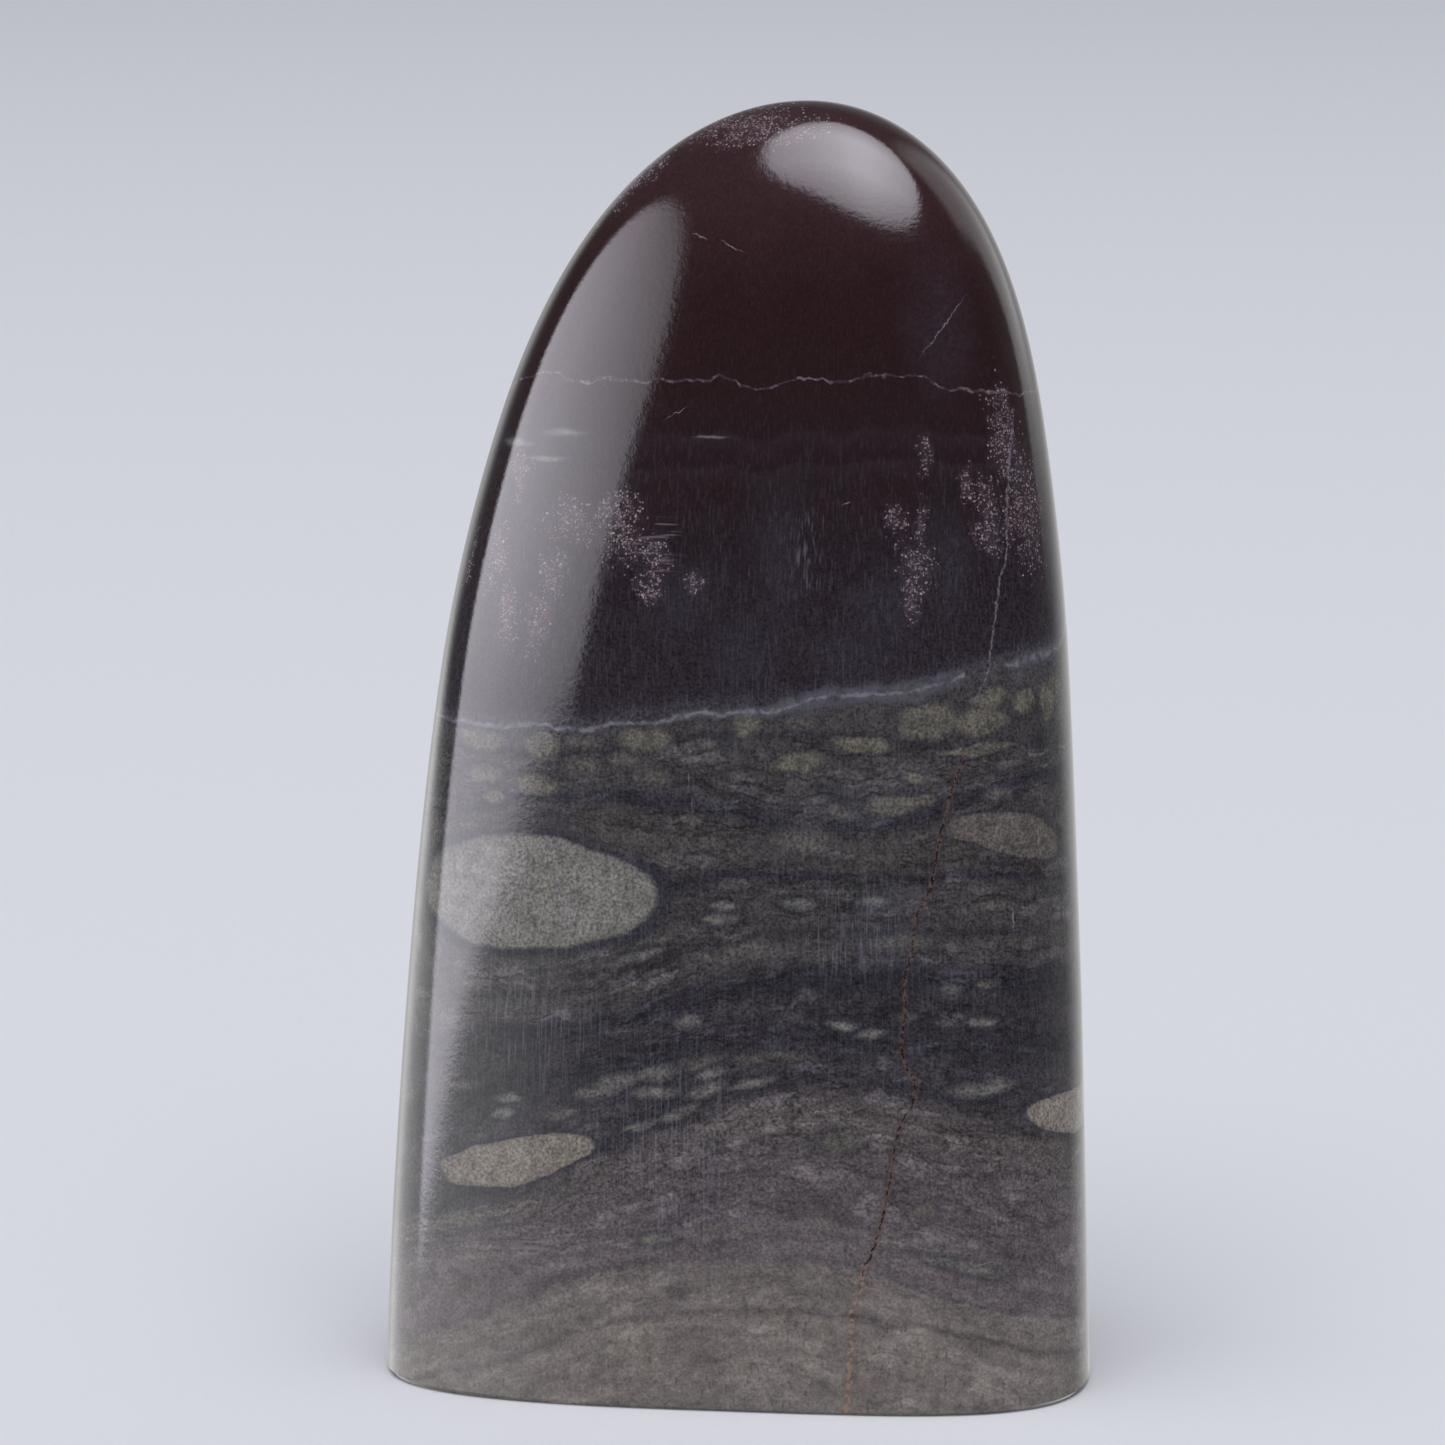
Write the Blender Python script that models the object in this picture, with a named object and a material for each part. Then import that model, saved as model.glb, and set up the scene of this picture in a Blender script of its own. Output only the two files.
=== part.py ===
"""Liver jade: one tall freeform stone, ground to a dome and sawn flat below, so that it stands by itself.

Metres, +Z up. The front of the stone looks toward -Y, and its thicker end is at +X.
"""
import math
from collections import namedtuple

import bmesh
import bpy

for leftover in list(bpy.data.objects):
    bpy.data.objects.remove(leftover, do_unlink=True)


# Size of the stone
HEIGHT = 0.100
# How far each side of the base lies from the upright through the tip, and how it draws in on the way up
Side = namedtuple("Side", "reach taper taper_power dome_power")
RIGHT = Side(reach=0.0225, taper=0.18, taper_power=1.00, dome_power=7.8)
LEFT = Side(reach=0.0329, taper=0.27, taper_power=1.35, dome_power=5.6)
FRONT = Side(reach=0.0164, taper=0.28, taper_power=1.15, dome_power=6.0)
BACK = Side(reach=0.0152, taper=0.28, taper_power=1.20, dome_power=5.5)

# Plan of the stone: 2 is an ellipse, and more is closer to a rectangle
SQUARENESS_AT_BASE = 3.4
SQUARENESS_AT_TIP = 2.0
# How much deeper each face is at its right end than at its middle, and shallower at its left
FRONT_WEDGE = 0.21
BACK_WEDGE = 0.12

# Worn edge around the sawn base
EDGE_WEAR = 0.0004

# Fineness of the faceted solid
POINTS_AROUND = 96
RINGS = 42

# Finish: the dark liver red of the upper half, polished
LIVER_RED = (0.035, 0.018, 0.020, 1.0)
POLISH_ROUGHNESS = 0.15
BASE_EDGE_ANGLE = math.radians(30.0)


def reach(side, level):
    """Distance from the tip's upright to one side, at a level from 0 at the base to 1 at the tip."""
    drawn_in = 1.0 - side.taper * level ** side.taper_power
    return side.reach * drawn_in * math.sqrt(1.0 - level ** side.dome_power)


def signed_power(value, power):
    """A power that keeps the sign of what it is taken of."""
    return math.copysign(abs(value) ** power, value)


def plan_points(level, height, inset=0.0):
    """The stone's plan at one level, as points that run once around it."""
    right, left = reach(RIGHT, level), -reach(LEFT, level)
    back, front = reach(BACK, level), reach(FRONT, level)
    half_width = (right - left) / 2.0 - inset
    middle_x = (right + left) / 2.0
    squareness = SQUARENESS_AT_BASE + (SQUARENESS_AT_TIP - SQUARENESS_AT_BASE) * level ** 2
    points = []
    for step in range(POINTS_AROUND):
        angle = 2.0 * math.pi * step / POINTS_AROUND
        along = signed_power(math.cos(angle), 2.0 / squareness)
        across = signed_power(math.sin(angle), 2.0 / squareness)
        if across > 0.0:
            depth = (back - inset) * (1.0 + BACK_WEDGE * along)
        else:
            depth = (front - inset) * (1.0 + FRONT_WEDGE * along)
        points.append((middle_x + half_width * along, depth * across, height))
    return points


def put_origin_under_middle(bm):
    """Shift the stone so that the origin lies below the middle of its width and depth."""
    xs = [vert.co.x for vert in bm.verts]
    ys = [vert.co.y for vert in bm.verts]
    middle = ((min(xs) + max(xs)) / 2.0, (min(ys) + max(ys)) / 2.0, 0.0)
    bmesh.ops.translate(bm, verts=bm.verts[:], vec=[-value for value in middle])


def stone_mesh():
    """The closed skin of the stone: the sawn base, its worn edge, the body and the tip."""
    # Levels crowd toward the tip, where the dome turns fastest
    levels = [math.sin(0.5 * math.pi * ring / RINGS) for ring in range(RINGS)]
    plans = [plan_points(0.0, 0.0, inset=EDGE_WEAR), plan_points(0.0, EDGE_WEAR)]
    plans += [plan_points(level, HEIGHT * level) for level in levels[1:]]
    bm = bmesh.new()
    rings = [[bm.verts.new(point) for point in plan] for plan in plans]
    tip = bm.verts.new((0.0, 0.0, HEIGHT))
    bm.faces.new(reversed(rings[0]))
    for step in range(POINTS_AROUND):
        following = (step + 1) % POINTS_AROUND
        for lower, upper in zip(rings, rings[1:]):
            bm.faces.new((lower[step], lower[following], upper[following], upper[step]))
        bm.faces.new((rings[-1][step], rings[-1][following], tip))
    put_origin_under_middle(bm)
    bmesh.ops.triangulate(bm, faces=bm.faces[:])
    mesh = bpy.data.meshes.new("liver_jade_stone")
    bm.to_mesh(mesh)
    bm.free()
    return mesh


def polished_stone():
    material = bpy.data.materials.new("polished liver jade")
    material.use_nodes = True
    shader = material.node_tree.nodes["Principled BSDF"]
    shader.inputs["Base Color"].default_value = LIVER_RED
    shader.inputs["Roughness"].default_value = POLISH_ROUGHNESS
    shader.inputs["Metallic"].default_value = 0.0
    return material


stone = bpy.data.objects.new("liver_jade_stone", stone_mesh())
stone.data.materials.append(polished_stone())
stone.data.shade_smooth()
stone.data.set_sharp_from_angle(angle=BASE_EDGE_ANGLE)
bpy.context.scene.collection.objects.link(stone)
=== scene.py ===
"""Liver jade freeform, dressed: the polished stone with its layers, pebbles, veins and crack.

Lengths are metres, as in the CAD. The stone's pattern is laid out in millimetres.
"""

import math
from collections import namedtuple

import bpy
import numpy as np
from mathutils import Matrix, Vector


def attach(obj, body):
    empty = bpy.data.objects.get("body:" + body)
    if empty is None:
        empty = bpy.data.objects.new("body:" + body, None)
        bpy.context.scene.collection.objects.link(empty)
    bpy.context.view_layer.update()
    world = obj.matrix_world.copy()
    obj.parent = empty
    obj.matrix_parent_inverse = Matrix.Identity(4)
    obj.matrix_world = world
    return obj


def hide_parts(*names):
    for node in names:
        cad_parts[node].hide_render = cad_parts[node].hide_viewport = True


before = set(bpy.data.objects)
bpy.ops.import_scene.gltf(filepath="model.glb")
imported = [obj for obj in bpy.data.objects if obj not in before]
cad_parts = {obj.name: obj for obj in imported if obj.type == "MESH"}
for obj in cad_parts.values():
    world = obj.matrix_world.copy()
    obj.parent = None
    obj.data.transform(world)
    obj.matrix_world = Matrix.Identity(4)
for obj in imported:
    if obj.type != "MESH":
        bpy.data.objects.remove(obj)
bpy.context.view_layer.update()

MM = 0.001

# The stone's form, with the CAD's named values
HEIGHT = 0.100
Side = namedtuple("Side", "reach taper taper_power dome_power")
RIGHT = Side(reach=0.0225, taper=0.18, taper_power=1.00, dome_power=7.8)
LEFT = Side(reach=0.0329, taper=0.27, taper_power=1.35, dome_power=5.6)
FRONT = Side(reach=0.0164, taper=0.28, taper_power=1.15, dome_power=6.0)
BACK = Side(reach=0.0152, taper=0.28, taper_power=1.20, dome_power=5.5)
SQUARENESS_AT_BASE = 3.4
SQUARENESS_AT_TIP = 2.0
FRONT_WEDGE = 0.21
BACK_WEDGE = 0.12
EDGE_WEAR = 0.0004
BASE_EDGE_ANGLE = math.radians(30.0)
# How far the CAD's centring moves the stone from the upright through its tip, in mm
SHIFT_X, SHIFT_Y = 5.2, 0.8

# Fineness of the mesh
COLUMNS = 300
RINGS = 300
PLAN_SAMPLES = 2400

# The photograph's frame and the camera's place
PHOTO_SIDE = 1445
FOCAL_PIXELS = 6387.5
SENSOR_WIDTH = 36.0
CAMERA_TARGET = Vector((-0.0014, 0.0, 0.05146))
CAMERA_DISTANCE = 0.5
CAMERA_ELEVATION = math.radians(10.0)


def srgb(red, green, blue):
    """A colour given as it shows on a screen, 0 to 255, as the linear values that Blender takes."""
    shown = [value / 255.0 for value in (red, green, blue)]
    return [v / 12.92 if v <= 0.04045 else ((v + 0.055) / 1.055) ** 2.4 for v in shown] + [1.0]


# The mesh

def reach(side, level):
    """Distance from the tip's upright to one side, at a level from 0 at the base to 1 at the tip."""
    drawn_in = 1.0 - side.taper * level ** side.taper_power
    return side.reach * drawn_in * math.sqrt(max(1.0 - level ** side.dome_power, 0.0))


def squareness_at(level):
    """How square the plan is at a level: 2 is an ellipse, and more is closer to a rectangle."""
    return SQUARENESS_AT_BASE + (SQUARENESS_AT_TIP - SQUARENESS_AT_BASE) * level ** 2


def plan(level, inset):
    """The stone's outline at one level, finely sampled: x and y, once around."""
    right, left = reach(RIGHT, level), -reach(LEFT, level)
    back, front = reach(BACK, level), reach(FRONT, level)
    half_width = (right - left) / 2.0 - inset
    middle_x = (right + left) / 2.0
    power = 2.0 / squareness_at(level)
    angle = np.linspace(0.0, 2.0 * np.pi, PLAN_SAMPLES + 1)
    along = np.sign(np.cos(angle)) * np.abs(np.cos(angle)) ** power
    across = np.sign(np.sin(angle)) * np.abs(np.sin(angle)) ** power
    behind = (back - inset) * (1.0 + BACK_WEDGE * along)
    before = (front - inset) * (1.0 + FRONT_WEDGE * along)
    return middle_x + half_width * along, np.where(across > 0.0, behind, before) * across


def even_ring(level, height, inset):
    """COLUMNS points spaced evenly around the stone's outline at one level."""
    xs, ys = plan(level, inset)
    run = np.concatenate(([0.0], np.cumsum(np.hypot(np.diff(xs), np.diff(ys)))))
    stops = np.linspace(0.0, run[-1], COLUMNS, endpoint=False)
    return np.column_stack((np.interp(stops, run, xs), np.interp(stops, run, ys), np.full(COLUMNS, height)))


# Where the hand polish left the surface hollow: x and height of the middle, half width, half height
# and depth, in mm
Hollow = namedtuple("Hollow", "x z wide high depth")
FRONT_HOLLOWS = [Hollow(-20, 47, 8, 7, 0.08), Hollow(-12, 82, 8, 5, 0.06), Hollow(6, 70, 9, 8, 0.10),
                 Hollow(15, 44, 8, 9, 0.12), Hollow(-2, 20, 12, 8, 0.10), Hollow(16, 90, 5, 4, 0.08)]
BACK_HOLLOWS = [Hollow(-12, 66, 9, 7, 0.14), Hollow(10, 52, 10, 6, 0.12), Hollow(-6, 28, 11, 8, 0.14),
                Hollow(14, 80, 7, 5, 0.10), Hollow(18, 22, 8, 9, 0.12), Hollow(-20, 42, 6, 9, 0.10)]
# A hollow fades out where the surface is nearer than this to the middle of the stone's depth, in mm
HOLLOW_FADE = 6.0
# How much fuller the lower body is than the even form, as a share of its width, and where that fades out
FULLER, FULL_BELOW, EVEN_ABOVE = 0.013, 56.0, 76.0
# The right side of the foot is even at the base, and as full as the rest from this height up, in mm
RIGHT_FULL_FROM = 30.0


def polish_by_hand(points):
    """Press shallow hollows into the even form and make its lower body a little fuller, in place."""
    x, y, z = (points[:, axis] / MM for axis in range(3))
    for facing, hollows in ((1.0, FRONT_HOLLOWS), (-1.0, BACK_HOLLOWS)):
        faces_it = np.clip(-facing * y / HOLLOW_FADE, 0.0, 1.0)
        for hollow in hollows:
            away = ((x - hollow.x) / hollow.wide) ** 2 + ((z - hollow.z) / hollow.high) ** 2
            points[:, 1] += facing * hollow.depth * MM * np.exp(-away) * faces_it
    lowness = np.clip((EVEN_ABOVE - z) / (EVEN_ABOVE - FULL_BELOW), 0.0, 1.0)
    right_foot = np.where(x > 0.0, np.clip(z / RIGHT_FULL_FROM, 0.0, 1.0), 1.0)
    points[:, 0] *= 1.0 + FULLER * lowness ** 2 * (3.0 - 2.0 * lowness) * right_foot


def stone_mesh():
    """The closed skin of the stone: the sawn base, its worn edge, the body and the tip."""
    # Levels crowd toward the tip, where the dome turns fastest
    levels = [math.sin(0.5 * math.pi * ring / RINGS) for ring in range(1, RINGS)]
    rings = [even_ring(0.0, 0.0, EDGE_WEAR), even_ring(0.0, EDGE_WEAR, 0.0)]
    rings += [even_ring(level, HEIGHT * level, 0.0) for level in levels]
    points = np.concatenate(rings + [[[0.0, 0.0, HEIGHT]]])
    middle = (points.min(axis=0) + points.max(axis=0)) / 2.0
    points[:, :2] -= middle[:2]
    polish_by_hand(points)
    faces = [tuple(range(COLUMNS - 1, -1, -1))]
    for ring in range(len(rings) - 1):
        low, high = ring * COLUMNS, (ring + 1) * COLUMNS
        for column in range(COLUMNS):
            after = (column + 1) % COLUMNS
            faces.append((low + column, low + after, high + after, high + column))
    last, tip = (len(rings) - 1) * COLUMNS, len(points) - 1
    for column in range(COLUMNS):
        faces.append((last + column, last + (column + 1) % COLUMNS, tip))
    mesh = bpy.data.meshes.new("jade_stone")
    mesh.from_pydata(points.tolist(), [], faces)
    mesh.shade_smooth()
    mesh.set_sharp_from_angle(angle=BASE_EDGE_ANGLE)
    return mesh


# Nodes

# Light that the studio sends back from a white surface, and from the polish of a black one
SHOWN_OF_WHITE = (0.60, 0.63, 0.64)
SHOWN_OF_POLISH = 0.003
DARKEST = 0.002
BLACK = (0.0, 0.0, 0.0, 1.0)
# A curve node works with values of about 1, so a line in mm is kept in it divided by this
CURVE_UNIT = 100.0
# A colour mix node's own sockets, by number
MIX_AMOUNT, MIX_FIRST, MIX_SECOND, MIX_RESULT = 0, 6, 7, 2


def tint(red, green, blue):
    """The stone's own colour where the photograph shows this one, 0 to 255."""
    shown = srgb(red, green, blue)[:3]
    own = [max(value - SHOWN_OF_POLISH, DARKEST) / white for value, white in zip(shown, SHOWN_OF_WHITE)]
    return own + [1.0]


class Wires:
    """Adds nodes to a node tree, one call each, and joins them."""

    def __init__(self, tree):
        self.tree = tree

    def node(self, kind, **settings):
        made = self.tree.nodes.new(kind)
        for name, value in settings.items():
            setattr(made, name, value)
        return made

    def feed(self, socket, value):
        if isinstance(value, bpy.types.NodeSocket):
            self.tree.links.new(value, socket)
        else:
            socket.default_value = value

    def fed(self, made, *values):
        """The node, with its first inputs fed in order."""
        for socket, value in zip(made.inputs, values):
            self.feed(socket, value)
        return made

    def math(self, operation, *values):
        return self.fed(self.node("ShaderNodeMath", operation=operation), *values).outputs[0]

    def times(self, first, *others):
        for other in others:
            first = self.math("MULTIPLY", first, other)
        return first

    def total(self, first, *others):
        for other in others:
            first = self.math("ADD", first, other)
        return first

    def apart(self, first, second):
        """The size of the difference between two numbers."""
        return self.math("ABSOLUTE", self.math("SUBTRACT", first, second))

    def vector(self, operation, *values):
        made = self.fed(self.node("ShaderNodeVectorMath", operation=operation), *values)
        return made.outputs["Value" if operation == "LENGTH" else "Vector"]

    def scaled(self, place, factor):
        made = self.fed(self.node("ShaderNodeVectorMath", operation="SCALE"), place)
        self.feed(made.inputs["Scale"], factor)
        return made.outputs["Vector"]

    def split(self, place):
        return self.fed(self.node("ShaderNodeSeparateXYZ"), place).outputs

    def joined(self, *values):
        return self.fed(self.node("ShaderNodeCombineXYZ"), *values).outputs[0]

    def channels(self, colour):
        return self.fed(self.node("ShaderNodeSeparateColor"), colour).outputs

    def spread(self, value, low, high, to_low=0.0, to_high=1.0, smooth=True):
        """Takes low..high to to_low..to_high, and holds the ends beyond."""
        made = self.node("ShaderNodeMapRange", interpolation_type="SMOOTHSTEP" if smooth else "LINEAR")
        return self.fed(made, value, low, high, to_low, to_high).outputs[0]

    def mix(self, amount, first, second):
        made = self.node("ShaderNodeMix", data_type="RGBA")
        self.feed(made.inputs[MIX_AMOUNT], amount)
        self.feed(made.inputs[MIX_FIRST], first)
        self.feed(made.inputs[MIX_SECOND], second)
        return made.outputs[MIX_RESULT]

    def shade(self, colour, gain):
        """The colour times 1 + gain, by a mix that may run past its ends."""
        made = self.node("ShaderNodeMix", data_type="RGBA", clamp_factor=False)
        self.feed(made.inputs[MIX_AMOUNT], self.math("MULTIPLY", gain, -1.0))
        self.feed(made.inputs[MIX_FIRST], colour)
        made.inputs[MIX_SECOND].default_value = BLACK
        return made.outputs[MIX_RESULT]

    def noise(self, place, scale, detail=2.0, roughness=0.5, colour=False):
        made = self.node("ShaderNodeTexNoise")
        self.feed(made.inputs["Vector"], place)
        self.feed(made.inputs["Scale"], scale)
        self.feed(made.inputs["Detail"], detail)
        self.feed(made.inputs["Roughness"], roughness)
        return made.outputs["Color" if colour else "Fac"]

    def wobble(self, place, scale, size, detail=2.0):
        """A shift by noise, up to half of size each way."""
        centred = self.vector("SUBTRACT", self.noise(place, scale, detail, colour=True), (0.5, 0.5, 0.5))
        return self.scaled(centred, size)

    def cells(self, place, scale, feature="F1", output="Distance"):
        made = self.node("ShaderNodeTexVoronoi", feature=feature)
        self.feed(made.inputs["Vector"], place)
        self.feed(made.inputs["Scale"], scale)
        return made.outputs[output]

    def line(self, along, points, low, high):
        """A smooth line through points, (along, value) in mm. It comes out divided by CURVE_UNIT."""
        made = self.node("ShaderNodeFloatCurve")
        made.mapping.use_clip = False
        curve = made.mapping.curves[0]
        places = [((x - low) / (high - low), value / CURVE_UNIT) for x, value in points]
        curve.points[0].location = places[0]
        curve.points[1].location = places[-1]
        for place in places[1:-1]:
            curve.points.new(*place)
        made.mapping.update()
        self.feed(made.inputs["Value"], along)
        return made.outputs[0]

    def ramp(self, value, stops):
        """Colours at stops, (mm, colour), from the first stop's mm to the last one's."""
        low, high = stops[0][0], stops[-1][0]
        made = self.node("ShaderNodeValToRGB")
        elements = made.color_ramp.elements
        places = [((at - low) / (high - low), tint(*colour)) for at, colour in stops]
        elements[0].position, elements[0].color = places[0]
        elements[1].position, elements[1].color = places[-1]
        for position, colour in places[1:-1]:
            elements.new(position).color = colour
        self.feed(made.inputs[0], self.spread(value, low, high, smooth=False))
        return made.outputs["Color"]

    def lens(self, place, centre, sizes, pointed):
        """Distance from centre, 1 at the edge of a lens of these half sizes.

        It is an ellipsoid where pointed is 0.
        """
        radius = math.sqrt(1.0 + pointed ** 2)
        squeeze = [1.0 / radius / size for size in sizes[:2]] + [(radius - pointed) / radius / sizes[2]]
        moved = [-middle * factor for middle, factor in zip(centre, squeeze)]
        inside = self.vector("MULTIPLY_ADD", place, squeeze, moved)
        if pointed > 0.0:
            inside = self.vector("ADD", self.vector("ABSOLUTE", inside), (0.0, 0.0, pointed / radius))
        return self.vector("LENGTH", inside)


# The stone's layers

# Lines that run through the front face from left to right: (x, height) in mm
ACROSS_LOW, ACROSS_HIGH = -30.0, 30.0
LOW_ARCH = [(-30, -1.5), (-25.6, 0.9), (-20.4, 2.6), (-16.4, 4.2), (-11.9, 6.3), (-8.4, 7.2),
            (-4.9, 7.9), (-0.4, 8.2), (4.8, 8.4), (10.1, 7.6), (14.8, 7.2), (18.1, 6.3), (21.8, 5.1),
            (26.7, 3.5), (30, 2.5)]
HIGH_ARCH = [(-30, 1.5), (-25, 4.2), (-20, 6.6), (-16.2, 8.6), (-10.9, 10.6), (-5.2, 11.7),
             (-0.8, 11.9), (4, 12.2), (8.6, 11.6), (12.6, 10.4), (16.6, 8.9), (22, 7.5), (26.7, 6.2),
             (30, 5.5)]
STREAKS = [(-30, 8), (-24.2, 10.3), (-19.1, 11.3), (-13.7, 12.2), (-8.5, 13.2), (-4.8, 13.8),
           (-0.8, 14.5), (2.3, 14.8), (7.6, 14.5), (13.9, 13.1), (20.3, 10.6), (24.7, 8.8), (30, 7.5)]
UNDER_BAND = [(-30, 12), (-25.7, 13.4), (-20.8, 15.3), (-15.8, 16.9), (-11.5, 19.8), (-8, 21.5),
              (-4.8, 23.2), (-0.8, 24.7), (2.3, 25.4), (6.1, 25.9), (11.1, 25.6), (15.9, 24.7),
              (21.7, 23.5), (25.8, 21.8), (30, 20.5)]
BAND_TOP = [(-30, 18.5), (-25.7, 19.6), (-22.3, 21.5), (-19.4, 23.6), (-14.4, 25), (-9.3, 26.8),
            (-5.1, 27.9), (-0.9, 28.8), (2.7, 28.9), (6.2, 28.6), (11, 28.4), (15.9, 27.9),
            (21.7, 27.3), (26, 26), (30, 25)]
DARK_TOP = [(-30, 27), (-24.1, 27.8), (-20.8, 28.8), (-17.2, 29.6), (-12.6, 30.3), (-8.3, 31.3),
            (-4.4, 32.9), (0.7, 34.2), (4, 34.9), (7.5, 35.1), (12.8, 35.1), (18.1, 34.9), (24.6, 34.2),
            (30, 33.5)]
UNDER_PEBBLE = [(-30, 38.4), (-26, 38.6), (-24.4, 38.0), (-23.7, 37.0), (-22.6, 35.9), (-20, 35.3),
                (-16.5, 35.2), (-12.9, 35.8), (-9.4, 37.1), (-6.6, 39.0), (-4.5, 40.6), (-2.5, 41.4),
                (0.3, 41.7), (7.5, 41.7), (14.5, 41.7), (20.9, 41.5), (25.5, 40.6), (30, 39.5)]
OVER_PEBBLE = [(-30, 39.0), (-26, 39.2), (-24.4, 40.2), (-23.7, 41.6), (-22.6, 42.8), (-20.7, 43.8),
               (-17.5, 44.9), (-14.3, 44.7), (-11.5, 43.8), (-8.6, 42.8), (-5.8, 42.1), (-3.1, 42.0),
               (0.3, 42.3), (7.5, 42.3), (14.5, 42.3), (20.9, 42.1), (25.5, 41.2), (30, 40)]
DRIFT = [(-30, 44), (-21.9, 45.8), (-18.9, 46.8), (-16, 47.5), (-12.9, 47.5), (-9.3, 47.8),
         (-5.1, 47.7), (0, 46.8), (6.4, 45.4), (11, 46.2), (14.5, 47), (17.3, 48.1), (20.9, 49),
         (26, 49.6), (30, 50)]
GREEN_FOOT = [(-30, 50), (-20, 50.6), (-10, 51.4), (-5.1, 52.2), (-0.9, 52.9), (2.6, 52.9), (6.8, 52.7),
              (11, 52.3), (15.5, 52), (19.1, 52), (24.7, 51.4), (30, 51)]
BOUNDARY = [(-30, 52.2), (-21.2, 52.6), (-15.5, 52.9), (-13.9, 52.7), (-11.5, 52.7), (-9.6, 53.5),
            (-8.2, 53.6), (-6.3, 53.6), (-4.3, 54.1), (-3.5, 54.2), (-1.0, 54.5), (2.8, 54.8),
            (6.5, 55.7), (9.8, 56.1), (13.9, 56.4), (15.1, 56.8), (16.8, 57.4), (19.0, 57.8),
            (20.6, 57.8), (21.5, 58.1), (23.2, 58.4), (24.8, 58.7), (30, 59.5)]
SLATE_TOP = [(-30, 53.5), (-12.8, 54.2), (-9.3, 54.7), (-5.1, 55.2), (-0.9, 55.7), (2.6, 56),
             (7.5, 56.6), (11, 57.1), (14.5, 57.7), (16.2, 58.2), (20, 58.9), (25, 59.9), (30, 60.8)]
WAVY = [(-30, 79.6), (-16.7, 79.7), (-15.8, 79.8), (-13.9, 79.7), (-11.7, 79.1), (-10.5, 79.5),
        (-9.1, 79.5), (-7.2, 79.1), (-6.5, 79.4), (-3.5, 79.5), (-0.8, 79.8), (0, 79.2), (1.5, 78.9),
        (3.6, 79.7), (4.6, 79.9), (7.7, 79.4), (8.9, 79.7), (10.0, 80.1), (12.4, 79.9), (13.9, 80.0),
        (14.9, 79.4), (16.1, 78.9), (17.3, 78.9), (19.2, 78.6), (22.4, 77.9), (30, 77)]

# The lines from the base up, each with its height in the middle of the stone. Between two lines the
# layers fan out.
LAYER_LINES = [(8.3, LOW_ARCH), (12.1, HIGH_ARCH), (14.8, STREAKS), (25.4, UNDER_BAND),
               (28.8, BAND_TOP), (34.6, DARK_TOP), (41.7, UNDER_PEBBLE), (42.3, OVER_PEBBLE),
               (47.0, DRIFT), (52.9, GREEN_FOOT), (54.8, BOUNDARY), (56.2, SLATE_TOP), (79.4, WAVY)]

# Layer colours by height in the middle of the stone
LOW_LAYERS = [(0.0, (103, 100, 98)), (3.0, (108, 104, 101)), (7.6, (107, 103, 100)),
              (8.2, (88, 84, 84)), (8.8, (103, 99, 97)), (11.0, (102, 98, 96)), (11.9, (98, 94, 93)),
              (12.3, (84, 80, 82)), (13.2, (92, 87, 89)), (14.4, (88, 84, 86)), (14.9, (96, 92, 92)),
              (15.6, (84, 80, 83)), (18.0, (83, 79, 82)), (21.0, (84, 80, 82)), (23.5, (84, 80, 80)),
              (24.8, (70, 67, 70)), (25.8, (52, 51, 56)), (27.2, (62, 60, 64)), (28.6, (54, 53, 58)),
              (30.0, (48, 47, 52))]
MIDDLE_LAYERS = [(30.0, (48, 47, 52)), (32.0, (56, 54, 58)), (33.6, (46, 45, 51)), (34.6, (50, 49, 54)),
                 (35.4, (66, 64, 66)), (36.8, (68, 66, 66)), (37.5, (56, 55, 58)), (38.2, (66, 64, 65)),
                 (40.5, (64, 63, 64)), (41.6, (58, 57, 60)), (42.0, (46, 45, 51)), (42.5, (62, 60, 62)),
                 (44.0, (68, 66, 66)), (46.0, (66, 64, 65)), (47.0, (50, 49, 56)), (47.8, (60, 59, 62)),
                 (50.0, (64, 63, 64)), (52.3, (62, 61, 62)), (52.9, (50, 49, 53)), (53.4, (62, 61, 62)),
                 (54.4, (60, 59, 61)), (54.8, (58, 57, 61)), (55.8, (54, 52, 58)), (56.2, (46, 43, 50)),
                 (57.0, (42, 37, 43)), (60.0, (40, 35, 40))]
HIGH_LAYERS = [(60.0, (40, 35, 40)), (66.0, (38, 31, 36)), (71.5, (37, 29, 32)), (72.9, (40, 33, 37)),
               (73.3, (36, 28, 31)), (74.0, (37, 29, 33)), (75.2, (40, 33, 37)), (75.7, (37, 28, 31)),
               (79.0, (38, 27, 29)), (80.0, (38, 27, 29)), (86.0, (40, 28, 30)), (92.0, (48, 34, 37)),
               (100.0, (51, 37, 40))]

# Pebbles

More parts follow.
